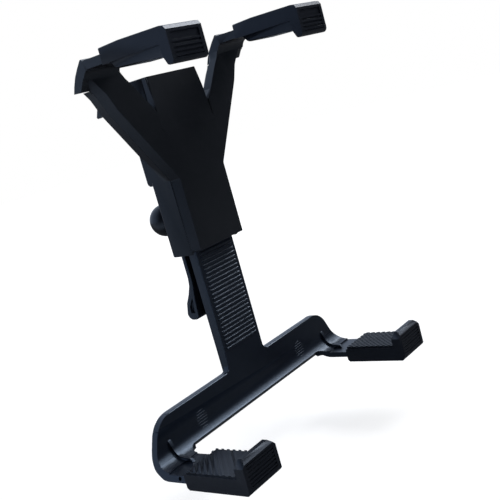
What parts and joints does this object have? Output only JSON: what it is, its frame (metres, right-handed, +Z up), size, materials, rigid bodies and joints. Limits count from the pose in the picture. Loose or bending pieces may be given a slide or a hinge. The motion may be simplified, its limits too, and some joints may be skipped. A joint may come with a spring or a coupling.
{
  "type": "tablet holder",
  "caption": "Y-shaped car holder for a tablet: fixed upper fingers, a sliding T-shaped carriage with padded lower fingers, a release lever and a rear mounting ball.",
  "frame": {"origin": "centre of the mounting ball at the back", "axes": "+X to the right as the tablet's user sees it, +Y backward to the mount, +Z up along the stem"},
  "size_m": [0.164, 0.0959, 0.1924],
  "materials": {
    "shell": "black ABS with a fine satin grain",
    "carriage": "black semi-gloss plastic",
    "grip": "matte black rubber",
    "steel": "zinc-plated steel",
    "brass": "plain brass"
  },
  "bodies": {
    "bracket": {"front_yoke": "shell", "rear_housing": "shell", "ball_stud": "shell", "stud_insert": "brass", "stud_screw": "steel", "housing_screw_1": "steel", "housing_screw_2": "steel", "housing_screw_3": "steel", "housing_screw_4": "steel", "lever_pin": "steel", "lever_spring_1": "steel", "lever_spring_2": "steel", "upper_left_grip": "grip", "upper_right_grip": "grip"},
    "lever": {"release_lever": "carriage"},
    "carriage": {"t_slider": "carriage", "stop_screw_1": "steel", "stop_screw_2": "steel", "lower_left_grip": "grip", "lower_right_grip": "grip"}
  },
  "joints": [
    {"name": "carriage_slide", "type": "slide", "parent": "bracket", "child": "carriage", "axis": [0, 0, 1], "range_m": [-0.025, 0.058]},
    {"name": "lever_hinge", "type": "hinge", "parent": "bracket", "child": "lever", "pos_m": [0, -0.0205, -0.0086], "axis": [-1, 0, 0], "range_deg": [0, 6], "stiffness_Nm_per_rad": 0.12, "springref_deg": -20.05}
  ]
}
